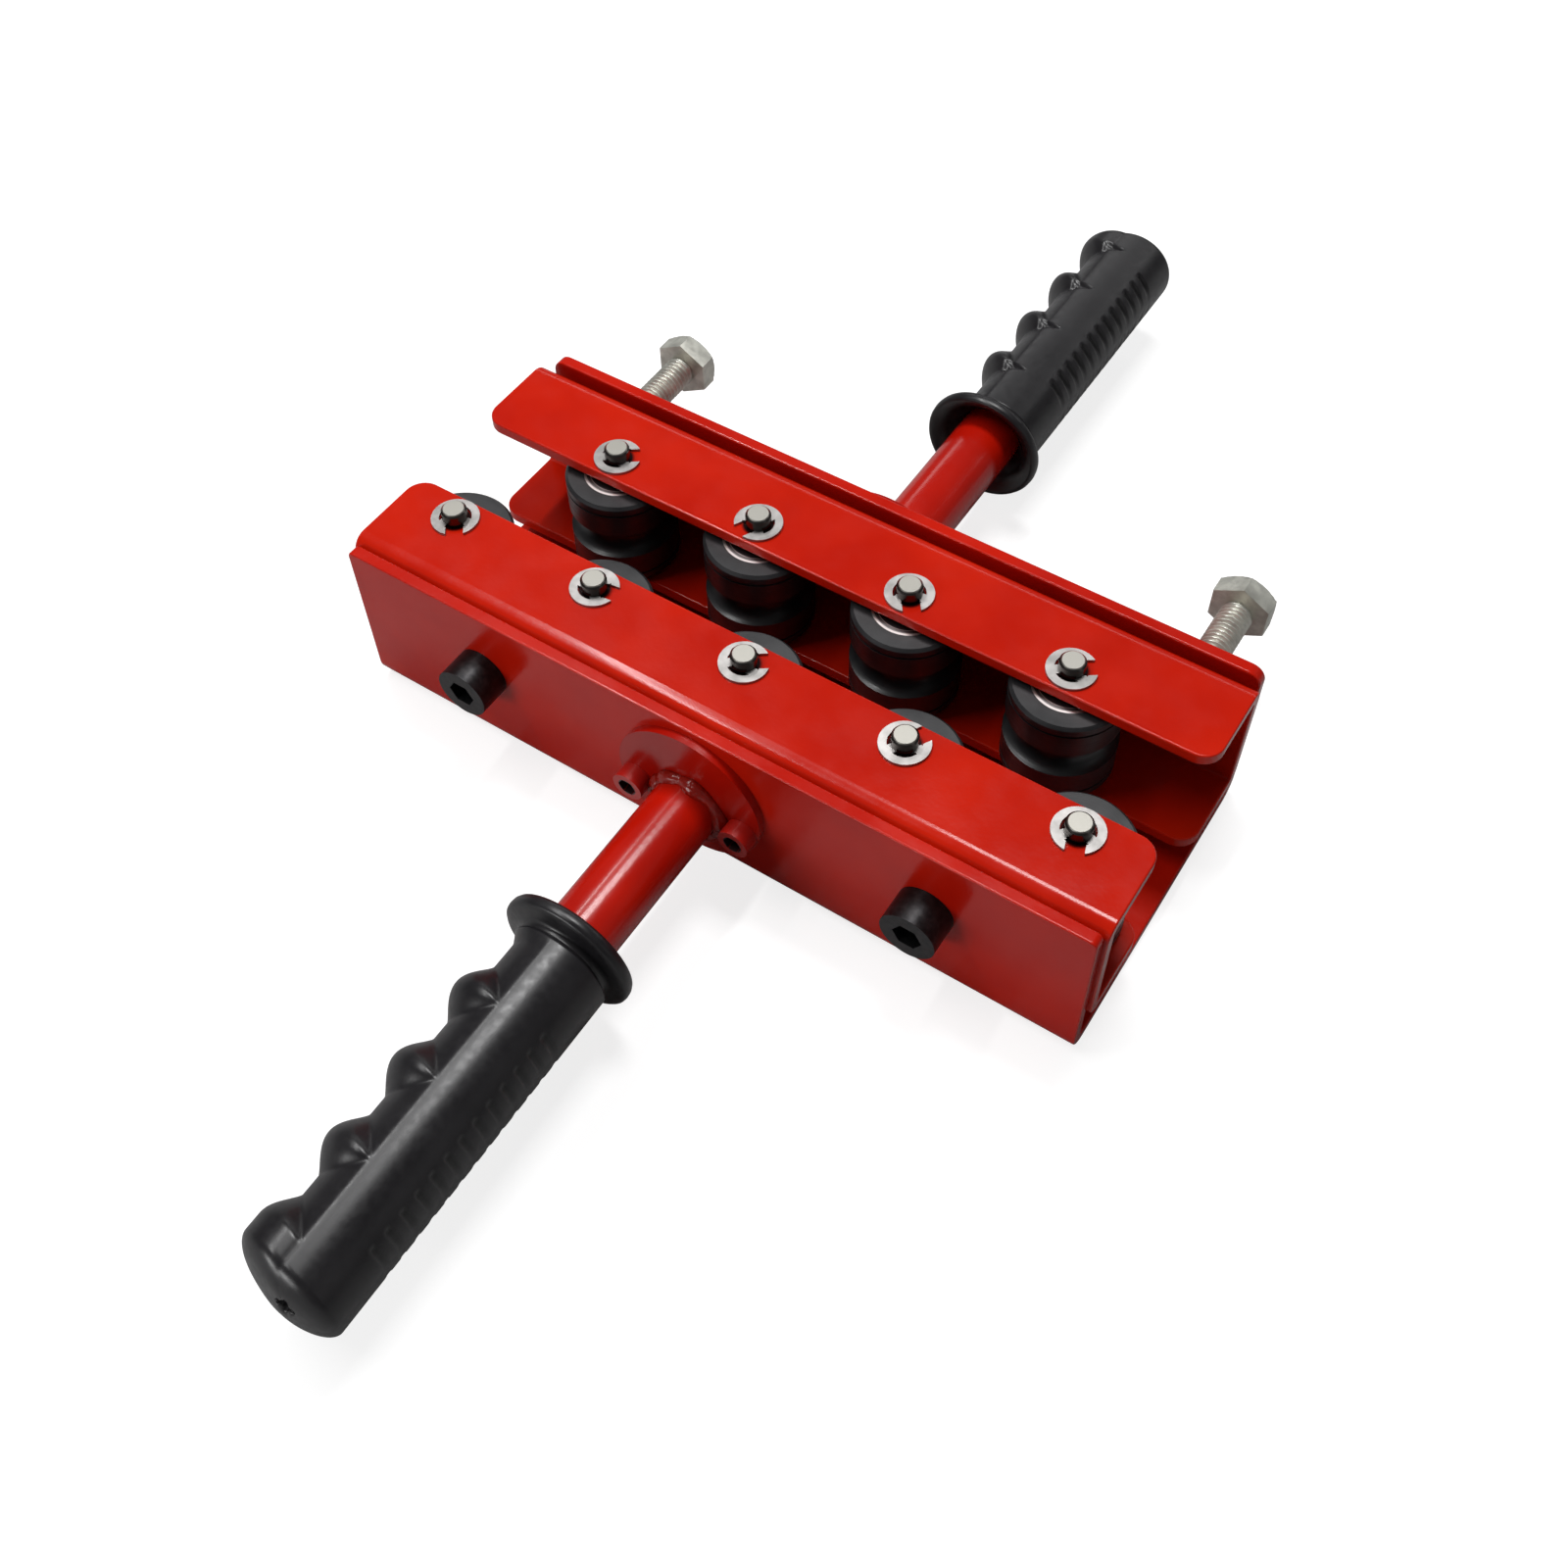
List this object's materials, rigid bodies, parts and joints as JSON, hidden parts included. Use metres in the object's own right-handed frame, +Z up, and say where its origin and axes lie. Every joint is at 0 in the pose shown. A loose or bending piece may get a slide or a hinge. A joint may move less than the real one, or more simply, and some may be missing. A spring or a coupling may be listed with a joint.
{
  "type": "wire straightener",
  "caption": "Hand-held straightener for wire and thin tube: staggered rows of grooved rollers in a folded steel channel, a screw-adjusted carriage, and a grip handle on each side.",
  "frame": {"origin": "centre of the channel's underside, on the surface it rests on", "axes": "+X along the wire's path, +Y across the channel to the adjusting screws, +Z up"},
  "size_m": [0.192, 0.3515, 0.0487],
  "materials": {
    "red_paint": "glossy powder coat",
    "black_oxide": "black oxide",
    "bright_steel": "bright nickel-plated steel",
    "zinc_plate": "zinc plate",
    "bearing_steel": "ground",
    "roller_black": "blackened, satin",
    "grip_black": "satin moulded"
  },
  "bodies": {
    "frame": {"outer_channel": "red_paint", "front_carrier": "red_paint", "carrier_screws": "black_oxide", "carrier_nuts": "black_oxide", "adjusting_nuts": "zinc_plate", "front_pins": "bright_steel", "front_clips": "bright_steel", "front_washers": "bright_steel", "front_inner_rings": "bearing_steel", "front_spacers": "bright_steel", "front_handle_flange": "red_paint", "front_handle_tube": "red_paint", "front_handle_weld": "red_paint", "front_handle_screws": "red_paint", "front_handle_grip": "grip_black", "rear_handle_flange": "red_paint", "rear_handle_tube": "red_paint", "rear_handle_weld": "red_paint", "rear_handle_screws": "red_paint", "rear_handle_grip": "grip_black"},
    "rear_carriage": {"rear_carriage": "red_paint", "rear_pins": "bright_steel", "rear_clips": "bright_steel", "rear_washers": "bright_steel", "rear_inner_rings": "bearing_steel", "rear_spacers": "bright_steel"},
    "left_bolt": {"left_bolt": "zinc_plate", "left_bolt_clip": "bright_steel"},
    "right_bolt": {"right_bolt": "zinc_plate", "right_bolt_clip": "bright_steel"},
    "front_roller_1": {"front_roller_1": "roller_black", "front_roller_1_outer_rings": "bearing_steel", "front_roller_1_balls": "bearing_steel"},
    "front_roller_2": {"front_roller_2": "roller_black", "front_roller_2_outer_rings": "bearing_steel", "front_roller_2_balls": "bearing_steel"},
    "front_roller_3": {"front_roller_3": "roller_black", "front_roller_3_outer_rings": "bearing_steel", "front_roller_3_balls": "bearing_steel"},
    "front_roller_4": {"front_roller_4": "roller_black", "front_roller_4_outer_rings": "bearing_steel", "front_roller_4_balls": "bearing_steel"},
    "front_roller_5": {"front_roller_5": "roller_black", "front_roller_5_outer_rings": "bearing_steel", "front_roller_5_balls": "bearing_steel"},
    "rear_roller_1": {"rear_roller_1": "roller_black", "rear_roller_1_outer_rings": "bearing_steel", "rear_roller_1_balls": "bearing_steel"},
    "rear_roller_2": {"rear_roller_2": "roller_black", "rear_roller_2_outer_rings": "bearing_steel", "rear_roller_2_balls": "bearing_steel"},
    "rear_roller_3": {"rear_roller_3": "roller_black", "rear_roller_3_outer_rings": "bearing_steel", "rear_roller_3_balls": "bearing_steel"},
    "rear_roller_4": {"rear_roller_4": "roller_black", "rear_roller_4_outer_rings": "bearing_steel", "rear_roller_4_balls": "bearing_steel"}
  },
  "joints": [
    {"name": "carriage_slide", "type": "slide", "parent": "frame", "child": "rear_carriage", "axis": [0, 1, 0], "range_m": [-0.014, 0.002]},
    {"name": "front_roller_1_spin", "type": "hinge", "parent": "frame", "child": "front_roller_1", "pos_m": [-0.08, -0.0191, 0.0281], "axis": [0, 0, 1], "continuous": true},
    {"name": "front_roller_2_spin", "type": "hinge", "parent": "frame", "child": "front_roller_2", "pos_m": [-0.04, -0.0191, 0.0281], "axis": [0, 0, 1], "continuous": true},
    {"name": "front_roller_3_spin", "type": "hinge", "parent": "frame", "child": "front_roller_3", "pos_m": [0, -0.0191, 0.0281], "axis": [0, 0, 1], "continuous": true},
    {"name": "front_roller_4_spin", "type": "hinge", "parent": "frame", "child": "front_roller_4", "pos_m": [0.04, -0.0191, 0.0281], "axis": [0, 0, 1], "continuous": true},
    {"name": "front_roller_5_spin", "type": "hinge", "parent": "frame", "child": "front_roller_5", "pos_m": [0.08, -0.0191, 0.0281], "axis": [0, 0, 1], "continuous": true},
    {"name": "rear_roller_1_spin", "type": "hinge", "parent": "rear_carriage", "child": "rear_roller_1", "pos_m": [-0.06, 0.0168, 0.0281], "axis": [0, 0, 1], "continuous": true},
    {"name": "rear_roller_2_spin", "type": "hinge", "parent": "rear_carriage", "child": "rear_roller_2", "pos_m": [-0.02, 0.0168, 0.0281], "axis": [0, 0, 1], "continuous": true},
    {"name": "rear_roller_3_spin", "type": "hinge", "parent": "rear_carriage", "child": "rear_roller_3", "pos_m": [0.02, 0.0168, 0.0281], "axis": [0, 0, 1], "continuous": true},
    {"name": "rear_roller_4_spin", "type": "hinge", "parent": "rear_carriage", "child": "rear_roller_4", "pos_m": [0.06, 0.0168, 0.0281], "axis": [0, 0, 1], "continuous": true},
    {"name": "left_bolt_turn", "type": "hinge", "parent": "rear_carriage", "child": "left_bolt", "pos_m": [-0.0792, 0.06, 0.0246], "axis": [0, 1, 0], "range_deg": [-4034, 578]},
    {"name": "right_bolt_turn", "type": "hinge", "parent": "rear_carriage", "child": "right_bolt", "pos_m": [0.0792, 0.06, 0.0246], "axis": [0, 1, 0], "range_deg": [-4034, 578]}
  ],
  "couplings": [
    {"joint": "left_bolt_turn", "follows": "carriage_slide", "rad_per_m": 5026.5},
    {"joint": "right_bolt_turn", "follows": "carriage_slide", "rad_per_m": 5026.5}
  ]
}
